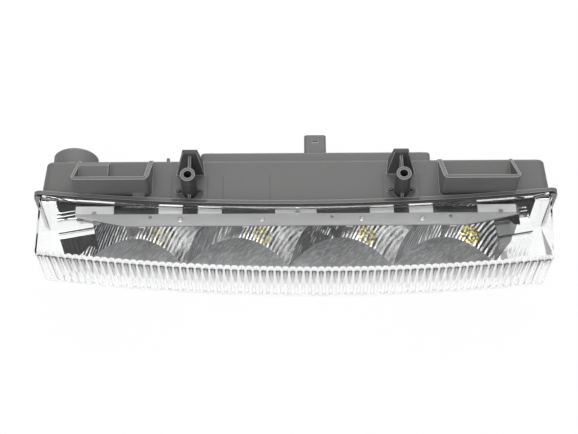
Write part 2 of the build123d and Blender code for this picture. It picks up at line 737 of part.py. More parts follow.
# Seal under the cover's rim
with BuildPart() as cover_seal:
    with BuildSketch(front_plane(rear_y, cover_x, cover_z)):
        RectangleRounded(cover_width, cover_height, cover_corner)
        RectangleRounded(cover_width - 2 * cover_wall, cover_height - 2 * cover_wall, cover_corner / 2,
                         mode=Mode.SUBTRACT)
    extrude(amount=-cover_seal_thickness)
cover_seal.part.label = "cover_seal"
export_step(cover_seal.part, "parts/cover_seal.step")

# Screws through the cover into the housing
with BuildPart() as cover_screws:
    for x, z in cover_screws_xz:
        with BuildSketch(front_plane(cover_back, x, z)):
            Circle(screw_head_radius)
        extrude(amount=-screw_head_height)
        with BuildSketch(front_plane(cover_back, x, z)):
            Circle(screw_radius)
        extrude(amount=cover_screw_length)
cover_screws.part.label = "cover_screws"
export_step(cover_screws.part, "parts/cover_screws.step")

# Driver board in the cover, and its parts
with BuildPart() as driver_board:
    with BuildSketch(front_plane(driver_front, cover_x, cover_z)):
        Rectangle(driver_width, driver_height)
    extrude(amount=-driver_thickness)
    for x in pin_xs:
        with BuildSketch(front_plane(driver_front, x, plug_z)):
            Rectangle(pin_width + 2 * fit_clearance, pin_thickness + 2 * fit_clearance)
        extrude(amount=-driver_thickness, mode=Mode.SUBTRACT)
driver_board.part.label = "driver_board"
export_step(driver_board.part, "parts/driver_board.step")

with BuildPart() as driver_choke:
    with BuildSketch(front_plane(driver_front, window_x + choke_offset, cover_z)):
        Circle(choke_radius)
    extrude(amount=choke_length)
driver_choke.part.label = "driver_choke"
export_step(driver_choke.part, "parts/driver_choke.step")

with BuildPart() as driver_capacitors:
    for offset_x in capacitor_offsets:
        with BuildSketch(front_plane(driver_front, window_x + offset_x, cover_z)):
            Circle(capacitor_radius)
        extrude(amount=capacitor_length)
driver_capacitors.part.label = "driver_capacitors"
export_step(driver_capacitors.part, "parts/driver_capacitors.step")

with BuildPart() as driver_chips:
    for offset_x in chip_offsets:
        with BuildSketch(front_plane(driver_back, cover_x + offset_x, cover_z)):
            Rectangle(chip_length, chip_height)
        extrude(amount=-chip_thickness)
driver_chips.part.label = "driver_chips"
export_step(driver_chips.part, "parts/driver_chips.step")

# Plug contacts, soldered through the driver board
with BuildPart() as terminal_pins:
    for x in pin_xs:
        with BuildSketch(front_plane(driver_front, x, plug_z)):
            Rectangle(pin_width, pin_thickness)
        extrude(amount=-(cover_back + pin_reach - driver_front))
terminal_pins.part.label = "terminal_pins"
export_step(terminal_pins.part, "parts/terminal_pins.step")

# Two flat leads from the driver board up to the LED board's rear edge
with BuildPart() as led_leads:
    lead_z = cover_z - lead_drop
    rest_z = board_top + lead_thickness / 2 + fit_clearance
    for i in (-1, 1):
        x = window_x + lead_offset + i * lead_spacing / 2
        with BuildLine() as route:
            FilletPolyline((x, driver_front, lead_z), (x, joint_y + lead_climb_start, lead_z),
                           (x, joint_y + lead_climb_end, rest_z),
                           (x, tongue_rear - lead_spacing / 2, rest_z), radius=lead_bend)
        with BuildSketch(front_plane(driver_front, x, lead_z)):
            Rectangle(lead_width, lead_thickness)
        sweep(path=route.line)
led_leads.part.label = "led_leads"
export_step(led_leads.part, "parts/led_leads.step")

# Breather cap over the spigot, and the membrane in the spigot's mouth
with BuildPart() as vent_cap:
    cap_front = rear_y + vent_cap_gap
    cap_back = rear_y + vent_spigot_length + vent_cap_wall
    with BuildSketch(front_plane(cap_front, vent_x, lens_middle)):
        Circle(vent_cap_radius)
    extrude(amount=-(cap_back - cap_front))
    chamfer(vent_cap.faces().sort_by(Axis.Y)[-1].edges(), length=vent_cap_wall / 2)
    with BuildSketch(front_plane(cap_front, vent_x, lens_middle)):
        Circle(vent_spigot_radius + fit_clearance)
    extrude(amount=-(vent_spigot_length - vent_cap_gap), mode=Mode.SUBTRACT)
    with BuildSketch(front_plane(rear_y + vent_spigot_length, vent_x, lens_middle)):
        Circle(vent_bore_radius)
    extrude(amount=-vent_pocket_depth, mode=Mode.SUBTRACT)
    with BuildSketch(front_plane(cap_front, vent_x, lens_middle)):
        Rectangle(3 * vent_cap_radius, vent_slot_width)
        Rectangle(vent_slot_width, 3 * vent_cap_radius)
    extrude(amount=-vent_slot_depth, mode=Mode.SUBTRACT)
vent_cap.part.label = "vent_cap"
export_step(vent_cap.part, "parts/vent_cap.step")

with BuildPart() as vent_membrane:
    with BuildSketch(front_plane(rear_y + vent_spigot_length, vent_x, lens_middle)):
        Circle(membrane_radius)
    extrude(amount=membrane_thickness)
vent_membrane.part.label = "vent_membrane"
export_step(vent_membrane.part, "parts/vent_membrane.step")
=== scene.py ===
from math import atan2, cos, pi, radians, sin, sqrt

import bmesh
import bpy
from mathutils import Euler, Matrix, Vector


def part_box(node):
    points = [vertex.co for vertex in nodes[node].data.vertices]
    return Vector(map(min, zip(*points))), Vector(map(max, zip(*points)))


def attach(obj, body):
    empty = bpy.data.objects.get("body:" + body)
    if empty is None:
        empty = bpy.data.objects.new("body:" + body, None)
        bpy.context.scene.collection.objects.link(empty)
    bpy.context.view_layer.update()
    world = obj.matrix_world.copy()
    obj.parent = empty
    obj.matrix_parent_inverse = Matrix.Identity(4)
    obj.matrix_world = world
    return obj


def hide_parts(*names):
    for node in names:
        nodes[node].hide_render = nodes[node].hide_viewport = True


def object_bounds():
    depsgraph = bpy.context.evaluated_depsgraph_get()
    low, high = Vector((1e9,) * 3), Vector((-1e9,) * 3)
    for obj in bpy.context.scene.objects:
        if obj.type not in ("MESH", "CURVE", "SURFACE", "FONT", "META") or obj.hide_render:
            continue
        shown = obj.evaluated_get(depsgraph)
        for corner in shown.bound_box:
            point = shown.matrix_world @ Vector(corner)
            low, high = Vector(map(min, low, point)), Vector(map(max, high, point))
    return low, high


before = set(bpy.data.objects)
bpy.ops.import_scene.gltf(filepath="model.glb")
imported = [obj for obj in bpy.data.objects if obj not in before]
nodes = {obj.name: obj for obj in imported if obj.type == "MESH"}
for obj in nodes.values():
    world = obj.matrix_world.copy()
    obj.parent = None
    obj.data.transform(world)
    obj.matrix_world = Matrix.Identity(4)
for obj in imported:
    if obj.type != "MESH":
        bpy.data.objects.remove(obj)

cad_box = [[float(v) for v in corner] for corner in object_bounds()]
mm = 0.001


# Housing: the grey tub that carries everything, injection moulded in filled plastic with a fine
# spark-eroded grain. Screw bosses, hollow towers and bracket hooks come out of the same tool.
flange_half = 126.5
flange_bow = 6.5
# The groove and boss places below get painted shadow and painted shade; the tool lines are real
# marks.
groove_middle = -8.2
boss_middle = 51.1
boss_half = 8.2
boss_front = -8.0
boss_foot = -17.3
boss_top = -0.3
tool_lines = (-60.0, -42.7, -35.2, -12.5, 42.4, 59.8)
tool_line_half = 0.25
tool_line_rear = 9.0


class Shade:
    """A socket in a node tree. Arithmetic on it adds Math nodes, and node() adds any other node."""

    def __init__(self, tree, socket=None):
        self.tree = tree
        self.socket = socket

    def node(self, kind, settings=None, sockets=None, output=0):
        """A new node: its settings are set first, then its sockets get values or links."""
        made = self.tree.nodes.new(kind)
        for name, value in (settings or {}).items():
            setattr(made, name, value)
        for name, value in (sockets or {}).items():
            if isinstance(value, Shade):
                self.tree.links.new(value.socket, made.inputs[name])
            else:
                made.inputs[name].default_value = value
        return Shade(self.tree, made.outputs[output] if len(made.outputs) else None)

    def math(self, operation, other=0.0):
        return self.node("ShaderNodeMath", {"operation": operation}, {0: self, 1: other})

    def reflected(self, operation, other):
        return self.node("ShaderNodeMath", {"operation": operation}, {0: other, 1: self})

    def __add__(self, other):
        return self.math("ADD", other)

    def __sub__(self, other):
        return self.math("SUBTRACT", other)

    def __rsub__(self, other):
        return self.reflected("SUBTRACT", other)

    def __mul__(self, other):
        return self.math("MULTIPLY", other)

    def __truediv__(self, other):
        return self.math("DIVIDE", other)

    def __rtruediv__(self, other):
        return self.reflected("DIVIDE", other)

    def __gt__(self, other):
        return self.math("GREATER_THAN", other)

    def __lt__(self, other):
        return self.math("LESS_THAN", other)

    def __abs__(self):
        return self.math("ABSOLUTE")

    __radd__ = __add__
    __rmul__ = __mul__

    def clipped(self):
        """The value held between 0 and 1."""
        return self.math("MAXIMUM", 0.0).math("MINIMUM", 1.0)

    def blend(self, low, high):
        """The colour between two colours that this value picks."""
        return self.node("ShaderNodeMix", {"data_type": "RGBA"}, {0: self, 6: low, 7: high}, 2)


def grey(level, warmth=0.0):
    return (level * (1 + warmth), level, level * (1 - warmth), 1.0)


def new_finish(name):
    """A material with an empty node tree."""
    finish = bpy.data.materials.new(name)
    finish.use_nodes = True
    finish.node_tree.nodes.clear()
    return finish, Shade(finish.node_tree)


def piece_place(tree):
    """The place on the piece, which its patterns read."""
    return tree.node("ShaderNodeTexCoord", output="Object")


def coordinate(place, axis):
    return place.node("ShaderNodeSeparateXYZ", None, {"Vector": place}, axis)


def stretched(place, scale):
    return place.node("ShaderNodeMapping", None, {"Vector": place, "Scale": scale})


def noise(place, scale, detail=2.0):
    sockets = {"Vector": place, "Scale": scale, "Detail": detail}
    return place.node("ShaderNodeTexNoise", None, sockets, "Fac")


def bump(height, strength, distance):
    sockets = {"Strength": strength, "Distance": distance, "Height": height}
    return height.node("ShaderNodeBump", None, sockets, "Normal")


def close_finish(tree, sockets):
    """Ends a tree in a Principled surface with these sockets."""
    surface = tree.node("ShaderNodeBsdfPrincipled", None, sockets)
    tree.node("ShaderNodeOutputMaterial", None, {"Surface": surface})


def edge_mask(tree, width):
    """Near 1 along the edges of a piece, 0 on its flat faces."""
    gain = 5
    face = tree.node("ShaderNodeNewGeometry", output="Normal")
    rounded = tree.node("ShaderNodeBevel", {"samples": 8}, {"Radius": width}, "Normal")
    along = tree.node("ShaderNodeVectorMath", {"operation": "DOT_PRODUCT"},
                      {0: face, 1: rounded}, "Value")
    return (1 - along) * gain


def moulded_plastic(name, level, grain_scale, roughness, edge=0.6, shade_and_marks=None):
    """Grained grey plastic with a painted highlight along its edges, darker where the given
    function says, for painted shade and for tool lines.
    """
    cloud_scale = 40.0
    warmth = 0.01
    finish, tree = new_finish(name)
    place = piece_place(tree)
    grain = noise(place, grain_scale, detail=3.0)
    clouds = noise(place, cloud_scale)
    patches = clouds * 0.7 + grain * 0.3
    skin = patches.blend(grey(level * 0.86, warmth), grey(level * 1.14, warmth))
    if shade_and_marks:
        skin = shade_and_marks(*(coordinate(place, axis) for axis in "XYZ")).blend(skin, grey(level * 0.1))
    # Painted highlight along the edges, where they would catch the light.
    edge_highlighted = edge_mask(tree, edge * mm).blend(skin, grey(level * 4.0, warmth))
    close_finish(tree, {"Base Color": edge_highlighted, "Roughness": clouds * 0.16 + roughness,
                        "Normal": bump(grain, strength=0.5, distance=0.05 * mm)})
    return finish


def dress(node, finish):
    """Gives a CAD node its finish."""
    nodes[node].data.materials.clear()
    nodes[node].data.materials.append(finish)


def housing_shade_and_tool_lines(x, y, z):
    """Dark places: painted shadow in the groove beside the lens, painted shade on the bosses and
    towers, and fine tool lines.
    """
    behind_bow = y - flange_bow * mm / (flange_half * mm) ** 2 * x * x
    darkness = (behind_bow < groove_middle * mm) * 0.9
    boss_shade = (abs(abs(x) - boss_middle * mm) < boss_half * mm) * (y > boss_front * mm)
    boss_shade = boss_shade * (z > boss_foot * mm) * (z < boss_top * mm)
    darkness = darkness.math("MAXIMUM", boss_shade * 0.75)
    for line in tool_lines:
        on_line = (abs(x - line * mm) < tool_line_half * mm) * (y < tool_line_rear * mm)
        darkness = darkness.math("MAXIMUM", on_line * 0.3)
    return darkness


dress("housing", moulded_plastic("housing_plastic", level=0.128, grain_scale=2600.0, roughness=0.5,
                                 shade_and_marks=housing_shade_and_tool_lines))


# Carrier strip: stamped from light alloy sheet, dull grey in front and paler and more metallic on
# the tongues behind. It is screwed to the reflector from below and draws heat from the board.
tongue_front = -10.0


def rolled_metal(name, dull, bright, roughness, stretch):
    """Metal with fine rolling lines, drawn out along the axes whose stretch is small."""
    finish, tree = new_finish(name)
    lines = noise(stretched(piece_place(tree), stretch), scale=1500.0, detail=4.0)
    close_finish(tree, {"Base Color": lines.blend(dull, bright), "Metallic": 1.0,
                        "Roughness": lines * 0.2 + roughness,
                        "Normal": bump(lines, strength=0.25, distance=0.02 * mm)})
    return finish


carrier_finish, carrier_tree = new_finish("carrier_metal")
carrier_place = piece_place(carrier_tree)
carrier_lines = noise(stretched(carrier_place, (0.06, 1.0, 1.0)), scale=1400.0, detail=4.0)
carrier_behind = coordinate(carrier_place, "Y") > tongue_front * mm
carrier_strip = carrier_lines.blend(grey(0.41), grey(0.51))
carrier_tongue = carrier_lines.blend(grey(0.74), grey(0.84))
close_finish(carrier_tree, {"Base Color": carrier_behind.blend(carrier_strip, carrier_tongue),
                            "Metallic": carrier_behind * 0.25 + 0.1,
                            "Roughness": carrier_lines * 0.2 + 0.35,
                            "Normal": bump(carrier_lines, strength=0.3, distance=0.03 * mm)})
dress("led_carrier", carrier_finish)


# Thermal pad: soft grey silicone between the board and the carrier, cut from sheet. It shows as a
# thin line at the strip's edge.
pad_finish, pad_tree = new_finish("pad_rubber")
pad_grain = noise(piece_place(pad_tree), scale=900.0, detail=3.0)
close_finish(pad_tree, {"Base Color": pad_grain.blend((0.2, 0.24, 0.28, 1), (0.3, 0.35, 0.4, 1)),
                        "Roughness": pad_grain * 0.2 + 0.7,
                        "Normal": bump(pad_grain, strength=0.4, distance=0.05 * mm)})
dress("thermal_pad", pad_finish)


# LED board and driver board: glass laminate under solder mask, with the copper tracks showing as
# slightly raised lighter bands. Each is cut to shape by a router.


def laminate(name, dark, light, track_axis, track_pitch):
    finish, tree = new_finish(name)
    place = piece_place(tree)
    weave = noise(place, scale=1800.0)
    tracks = (coordinate(place, track_axis) / (track_pitch * mm)).math("FRACT")
    track = abs(tracks - 0.5) > 0.3
    close_finish(tree, {"Base Color": (track * 0.55 + weave * 0.45).blend(dark, light),
                        "Roughness": weave * 0.2 + 0.28, "Coat Weight": 0.3,
                        "Normal": bump(track + weave * 0.3, strength=0.5, distance=0.03 * mm)})
    return finish


dress("led_board", laminate("board_laminate", grey(0.035), grey(0.075),
                            track_axis="Y", track_pitch=2.6))


# LEDs: white ceramic packages soldered under the board, each with a clear dome over yellow
# phosphor that looks down into its own cell. The phosphor has a faint painted glow.
led_body = 0.8
led_slack = 0.02
led_face_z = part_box("led_packages")[1][2] - led_body * mm
led_finish, led_tree = new_finish("led_phosphor")
led_place = piece_place(led_tree)
led_grain = noise(led_place, scale=5000.0, detail=3.0)
led_dome = coordinate(led_place, "Z") < led_face_z + led_slack * mm
led_yellow = led_grain.blend((0.85, 0.52, 0.03, 1), (1.0, 0.72, 0.1, 1))
led_white = led_grain.blend(grey(0.78), grey(0.9))
close_finish(led_tree, {"Base Color": led_dome.blend(led_white, led_yellow),
                        "Roughness": led_grain * 0.2 + 0.25,
                        # Painted glow: the phosphor shines faintly of itself.
                        "Emission Color": led_dome.blend(grey(0.0), led_yellow),
                        "Emission Strength": 0.6,
                        "Normal": bump(led_grain, strength=0.2, distance=0.02 * mm)})
dress("led_packages", led_finish)


# Board rivets: soft alloy, pushed through carrier, pad and board and headed over, so each shows a
# low dome with a dimple from the tool.
rivet_xs = (-55.6, -16.2, 31.9, 61.1)
rivet_y = -13.2
rivet_seat = -21.8
rivet_profile = [(0, 0.3), (0.35, 0.34), (0.6, 0.5), (0.95, 0.44), (1.25, 0.27), (1.4, 0.0),
                 (0.8, 0.0), (0.8, -2.9), (0, -2.9)]


def finished_mesh(name, shape):
    """The mesh that a bmesh holds; the bmesh is freed."""
    mesh = bpy.data.meshes.new(name)
    shape.to_mesh(mesh)
    shape.free()
    return mesh


def turned(profile, segments=28):
    """A closed mesh turned round Z from (radius, height) pairs in mm, on the axis at both ends."""
    shape = bmesh.new()
    turns = [2 * pi * i / segments for i in range(segments)]
    rings = []
    for radius, height in profile:
        r = radius * mm
        z = height * mm
        if r == 0:
            rings.append([shape.verts.new((0, 0, z))] * segments)
        else:
            rings.append([shape.verts.new((r * cos(a), r * sin(a), z)) for a in turns])
    for upper, lower in zip(rings, rings[1:]):
        for i in range(segments):
            corners = [upper[i], lower[i], lower[i - 1], upper[i - 1]]
            shape.faces.new(list(dict.fromkeys(corners)))
    bmesh.ops.recalc_face_normals(shape, faces=shape.faces)
    return finished_mesh("turned", shape)


def smooth(mesh, angle=32):
    mesh.shade_smooth()
    mesh.set_sharp_from_angle(angle=radians(angle))


def put_in_scene(name, mesh):
    piece = bpy.data.objects.new(name, mesh)
    bpy.context.scene.collection.objects.link(piece)
    return piece


def plain_mesh(piece):
    """The piece's mesh with its modifiers worked in, and the modifiers gone."""
    graph = bpy.context.evaluated_depsgraph_get()
    mesh = bpy.data.meshes.new_from_object(piece.evaluated_get(graph), depsgraph=graph)
    piece.modifiers.clear()
    piece.data = mesh


def sized_tree(name, sizes):
    """A Geometry Nodes tree with one named input for each size, and those inputs."""
    group = bpy.data.node_groups.new(name, "GeometryNodeTree")
    group.interface.new_socket("Geometry", in_out="INPUT", socket_type="NodeSocketGeometry")
    kinds = {int: "NodeSocketInt", float: "NodeSocketFloat", tuple: "NodeSocketVector"}
    for label, size in sizes.items():
        group.interface.new_socket(label, in_out="INPUT", socket_type=kinds[type(size)])
    group.interface.new_socket("Geometry", in_out="OUTPUT", socket_type="NodeSocketGeometry")
    entry = group.nodes.new("NodeGroupInput")
    return group, {socket.name: Shade(group, socket) for socket in entry.outputs if socket.name}


def grow(name, group, result, sizes, start):
    """The plain mesh piece that a tree's result makes from these sizes and a start mesh."""
    group.links.new(result.socket, group.nodes.new("NodeGroupOutput").inputs[0])
    piece = put_in_scene(name, start)
    modifier = piece.modifiers.new("sizes", "NODES")
    modifier.node_group = group
    for item in group.interface.items_tree:
        if item.in_out == "INPUT" and item.name in sizes:
            modifier[item.identifier] = sizes[item.name]
    plain_mesh(piece)
    return piece


def repeated(name, shape, places, finish):
    """One piece that holds the shape at each place."""
    sizes = {f"Place {i + 1}": tuple(v * mm for v in place) for i, place in enumerate(places)}
    group, given = sized_tree(name + "_places", sizes)
    start = given["Geometry"]
    join = group.nodes.new("GeometryNodeJoinGeometry")
    for label in reversed(list(sizes)):
        moved = start.node("GeometryNodeTransform", None,
                           {"Geometry": start, "Translation": given[label]})
        group.links.new(moved.socket, join.inputs[0])
    whole = start.node("GeometryNodeRealizeInstances", None, {0: Shade(group, join.outputs[0])})
    painted = whole.node("GeometryNodeSetMaterial", None, {"Geometry": whole, "Material": finish})
    return grow(name, group, painted, sizes, shape)


def settle(piece, node):
    """The piece stands in for a CAD node, which is hidden, and rides with the lamp."""
    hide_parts(node)
    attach(piece, "root")


rivet_mesh = turned(rivet_profile)
smooth(rivet_mesh)
rivet_finish = rolled_metal("rivet_metal", dull=grey(0.5), bright=grey(0.62), roughness=0.3,
                            stretch=(1.0, 1.0, 0.2))
rivet_places = [(x, rivet_y, rivet_seat) for x in rivet_xs]
rivets = repeated("board_rivet_heads", rivet_mesh, rivet_places, rivet_finish)
settle(rivets, "board_rivets")


# Reflector: four fluted half bowls in a row under a flat land, with a stepped wing at each end. One
# moulding in heat-proof plastic, metallised bright on the bowls and wings and satin on the floors,
# and screwed to posts in the housing.
cell_sizes = {"Cells": 4, "Columns": 96, "End Columns": 10, "Left Trim": 7, "Rows": 57,
              "Pitch": 51.2 * mm, "Shift": -3.4 * mm, "Focus": 10.8 * mm, "Depth": 19.1 * mm,
              "Vertex": -3.1 * mm, "Top": -24.7 * mm, "Land Rear": -5.3 * mm, "Lean": 6.8 * mm,
              "End Spread": 6.0 * mm, "End Lip": 2.5 * mm, "Flutes": 20, "Flute Depth": 0.2 * mm,
              "Mouth": -34.9 * mm, "Front Bow": 7.5 * mm, "Front Skew": 2.0 * mm,
              "Front Half": 123.7 * mm}
land_share = 0.07
land_least = 1.0
floor_share = 0.66
spread_start = 0.7
share_slack = 0.001
cell_wall_thickness = 1.2

# The walls carry painted reflections in bright streaks down the flutes, fewer at a bowl's back.
# One bowl has painted shade on half its walls, and each shows a painted golden glint of its LED
# low on the right.
side_unit = 10.0
streak_lean = 0.08
streaks_per_flute = 1.5
dashes_down = 3.0
first_wall_end = -84.0
fourth_wall_middle = 62.0
fourth_wall_half = 10.0
last_wall_start = 88.0
shade_middle = 11.0
shade_fade = 8.0
glint_middle = 11.5
glint_half = 5.0
glint_level = 0.82
glint_half_level = 0.2
wall_finish, wall_tree = new_finish("bright_reflector")
wall_place = piece_place(wall_tree)
wall_x = coordinate(wall_place, "X")
wall_fall = (cell_sizes["Top"] - coordinate(wall_place, "Z")) / cell_sizes["Depth"]
wall_upright = wall_x - cell_sizes["Shift"] - cell_sizes["Lean"] * (1 - wall_fall)
wall_across = wall_upright / cell_sizes["Pitch"]
wall_local = (wall_across.math("FRACT") - 0.5) * cell_sizes["Pitch"]
wall_side = wall_local / (side_unit * mm)
wall_back = (1.2 - abs(wall_side)).math("MAXIMUM", 0.0)
wall_first = wall_x < first_wall_end * mm
wall_fourth = abs(wall_x - fourth_wall_middle * mm) < fourth_wall_half * mm
wall_last = wall_x > last_wall_start * mm
wall_shaded = (2 - abs(wall_x - shade_middle * mm) / (shade_fade * mm)).clipped()
wall_waves = noise(wall_place, scale=260.0)
dash_spot = {"X": wall_across * cell_sizes["Flutes"], "Y": wall_fall * dashes_down}
wall_dashes = noise(wall_tree.node("ShaderNodeCombineXYZ", None, dash_spot), scale=1.0)
# Bright streaks painted as reflections down the flutes, more of them on each bowl's right side.
streak_across = (wall_across - streak_lean * (1 - wall_fall)) * cell_sizes["Flutes"]
streak_rows = (streak_across * streaks_per_flute + wall_waves * 0.3).math("FRACT") > 0.55
streak_lit = wall_side.math("MAXIMUM", -0.6) * 0.5 - wall_back * 0.35
streak_bowl = wall_first * 0.5 + wall_fourth * 0.5 - wall_last * 0.5
streak_shade = wall_shaded * ((wall_waves > 0.55) * 0.9 - 0.4)
streak_sum = streak_rows * 1.1 + wall_dashes * 2.4 + streak_lit + streak_bowl + streak_shade
wall_reflection_streak = (streak_sum - 1.75).clipped()
# Between the streaks the left sides are painted lighter than the right, and darker in the shaded
# bowl.
wall_left = (-0.2 - wall_side).clipped() * (1 - wall_shaded * 0.85) * (1 - wall_first)
wall_plain = wall_left + wall_back * (1 - wall_shaded) * 0.2
wall_painted_reflection = wall_reflection_streak.blend(wall_plain.blend(grey(0.03), grey(0.38)), grey(0.9))
# Painted golden glint: the LED's reflection low on each bowl's right wall.
glint_side = (wall_local - glint_middle * mm) / (glint_half * mm)
glint_fall = (wall_fall - glint_level) / glint_half_level
glint = (1 - glint_side * glint_side - glint_fall * glint_fall).math("MAXIMUM", 0.0)
glint_share = (glint * 2.5).math("MINIMUM", 0.9) * (wall_x * 4.0 + 0.6)
glint_dots = noise(wall_place, scale=800.0, detail=1.0) > 0.5
glint_skin = glint_dots.blend((0.06, 0.055, 0.03, 1), (0.66, 0.56, 0.2, 1))
close_finish(wall_tree, {"Base Color": glint_share.blend(wall_painted_reflection, glint_skin),
                         "Metallic": 1 - wall_shaded * (wall_side < 0.0) * (1 - wall_reflection_streak) * 0.9,
                         "Roughness": wall_waves * 0.1 + 0.04, "Specular IOR Level": 0.05,
                         "Normal": bump(wall_waves, strength=0.15, distance=0.1 * mm)})

# The floors carry short slanted dashes and a paler lip along the front.
dash_turn = radians(-40)
lip_depth = 7.0
satin_finish, satin_tree = new_finish("satin_floor")
satin_place = piece_place(satin_tree)
satin_waves = noise(satin_place, scale=150.0)
satin_turned = satin_tree.node("ShaderNodeMapping", None,
                               {"Vector": satin_place, "Rotation": (0, 0, dash_turn)})
satin_drawn = stretched(satin_turned, (0.22, 1.0, 1.0))
satin_dashes = noise(satin_drawn, scale=1500.0, detail=1.0) > 0.56
satin_x = coordinate(satin_place, "X") / cell_sizes["Front Half"]
satin_bow = satin_x * satin_x * cell_sizes["Front Bow"] - satin_x * cell_sizes["Front Skew"]
satin_behind = coordinate(satin_place, "Y") - (satin_bow + cell_sizes["Mouth"])
satin_lip = satin_behind < lip_depth * mm
satin_mix = satin_waves * 0.5 + satin_dashes * 0.5
satin_skin = satin_mix.blend(grey(0.24, -0.02), grey(0.56, -0.02))
close_finish(satin_tree, {"Base Color": satin_lip.blend(satin_skin, grey(0.6)),
                          "Metallic": 0.6, "Roughness": satin_waves * 0.2 + 0.35,
                          "Normal": bump(satin_dashes, strength=0.2, distance=0.05 * mm)})

# One grid is bent into land, walls and floor: its rows go back to front, its columns left to right.
cell_group, cell = sized_tree("fluted_cells", cell_sizes)
cell_tree = Shade(cell_group)
steps = cell["Cells"] * cell["Columns"] + cell["End Columns"] * 2 - cell["Left Trim"]
grid = cell_tree.node("GeometryNodeMeshGrid", None,
                      {"Size X": 1.0, "Size Y": 1.0, "Vertices X": steps + 1,
                       "Vertices Y": cell["Rows"]})
spot = cell_tree.node("GeometryNodeInputPosition")
share = coordinate(spot, "X") + 0.5
down = coordinate(spot, "Y") + 0.5
across = (share * steps + cell["Left Trim"] - cell["End Columns"]) / cell["Columns"]
trimmed = across.math("MAXIMUM", cell["Left Trim"] / cell["Columns"])
inner_across = trimmed.math("MINIMUM", cell["Cells"])
past_end = (across - inner_across) * cell["Columns"] / cell["End Columns"]
cell_number = across.math("FLOOR").math("MAXIMUM", 0.0).math("MINIMUM", cell["Cells"] - 1)
local = (inner_across - cell_number - 0.5) * cell["Pitch"]
back_share = (down / land_share).math("MINIMUM", 1.0)
fall = ((down - land_share) / (floor_share - land_share)).clipped()
run = ((down - floor_share) / (1 - floor_share)).math("MAXIMUM", 0.0)
drop = fall * cell["Depth"]
row_x = (inner_across - cell["Cells"] / 2) * cell["Pitch"] + cell["Shift"]
low_share = ((fall - spread_start) / (1 - spread_start)).math("MAXIMUM", 0.0)
end_width = cell["End Lip"] + cell["End Spread"] * low_share * low_share
bowl_x = row_x + cell["Lean"] * (1 - fall) + past_end * end_width
flute = abs((across * cell["Flutes"] * pi).math("SINE")) * cell["Flute Depth"]
rim_y = cell["Vertex"] - local * local / (cell["Focus"] * 4) - flute
reach = bowl_x / cell["Front Half"]
mouth_y = cell["Mouth"] + cell["Front Bow"] * reach * reach - cell["Front Skew"] * reach
wall_y = (rim_y - drop * drop / (cell["Focus"] * 4)).math("MAXIMUM", mouth_y)
land_y = cell["Land Rear"].math("MAXIMUM", rim_y + land_least * mm)
bowl_y = (wall_y + (land_y - rim_y) * (1 - back_share)) * (1 - run) + mouth_y * run
bowl_spot = cell_tree.node("ShaderNodeCombineXYZ", None,
                           {"X": bowl_x, "Y": bowl_y, "Z": cell["Top"] - drop})
coated = cell_tree.node("GeometryNodeSetMaterial", None,
                        {"Geometry": grid, "Material": wall_finish})
flat = (down > floor_share + share_slack).math("MAXIMUM", down < land_share - share_slack)
floored = cell_tree.node("GeometryNodeSetMaterial", None,
                         {"Geometry": coated, "Selection": flat, "Material": satin_finish})
shaped = cell_tree.node("GeometryNodeSetPosition", None,
                        {"Geometry": floored, "Position": bowl_spot})
real = cell_tree.node("GeometryNodeRealizeInstances", None, {0: shaped})
cells = grow("reflector_cells", cell_group, real, cell_sizes, bpy.data.meshes.new("cells"))
cell_wall = cells.modifiers.new("wall", "SOLIDIFY")
cell_wall.thickness = cell_wall_thickness * mm
cell_wall.offset = 1.0
plain_mesh(cells)
smooth(cells.data, angle=28)
settle(cells, "reflector")

# The wings step down in front of the land and have ribbed fronts. A flat cheek ends each side.
wing_land = -24.7
wing_drop = 2.0
wing_floor = -45.1
wing_roof = 1.5
wing_wall = 1.4
wing_bars = (1.1, 3.1)
wing_bar = 0.7
wing_rib_top = -27.4
wing_rib_pitch = 2.1
wing_rib_depth = 0.45
wing_rib_root = 0.1
wing_rib_shares = (0.1, 0.3, 0.5, 0.7, 0.9)
wing_turn = radians(10.0)
wing_edge = 0.15
cheek_spans = ((-122.8, -115.6), (115.6, 122.6))
cheek_rear = -4.2
cheek_front = -5.4
cheek_top = -19.3
cheek_foot = -46.4


def prism(shape, outline, start, end):
    """Adds a bar to a bmesh: the (y, z) outline carried from one X to another."""
    ends = [[shape.verts.new((x * mm, y * mm, z * mm)) for y, z in outline] for x in (start, end)]
    shape.faces.new(ends[0])
    shape.faces.new(ends[1])
    for i in range(len(outline)):
        shape.faces.new([ends[0][i - 1], ends[0][i], ends[1][i], ends[1][i - 1]])


def wing(middle, half, rear, step, front):
    """One wing: a stepped shell with two bars behind and upright ribs in front, turned a little."""
    shape = bmesh.new()
    ledge = wing_land - wing_drop
    prism(shape, [(rear, wing_land), (step, wing_land), (step, ledge), (front, ledge),
                  (front, wing_floor), (front + wing_wall, wing_floor),
                  (front + wing_wall, ledge - wing_roof), (step + wing_wall, ledge - wing_roof),
                  (step + wing_wall, wing_land - wing_roof), (rear, wing_land - wing_roof)],
          -half, half)
    for offset in wing_bars:
        bar_front = rear + offset
        bar_rear = bar_front + wing_bar
        prism(shape, [(bar_front, wing_land), (bar_front, wing_land - wing_roof),
                      (bar_rear, wing_land - wing_roof), (bar_rear, wing_land)], -half, half)
    count = int(2 * half / wing_rib_pitch)
    pitch = 2 * half / count
    for i in range(count):
        start = -half + i * pitch
        arc = [(start + pitch * share, front + wing_rib_root - wing_rib_depth * sin(pi * share))
               for share in wing_rib_shares]
        rib = [shape.verts.new((x * mm, y * mm, z * mm))
               for z in (wing_rib_top, wing_floor + wing_rib_root) for x, y in arc]
        points = len(arc)
        shape.faces.new(rib[:points])
        shape.faces.new(rib[points:])
        for j in range(points):
            shape.faces.new([rib[j - 1], rib[j], rib[points + j], rib[points + j - 1]])
    pivot = (0, step * mm, 0)
    turn = Matrix.Rotation(wing_turn, 3, "Z")
    bmesh.ops.rotate(shape, verts=shape.verts, cent=pivot, matrix=turn)
    bmesh.ops.translate(shape, verts=shape.verts, vec=(middle * mm, 0, 0))
    return finished_mesh("wing", shape)


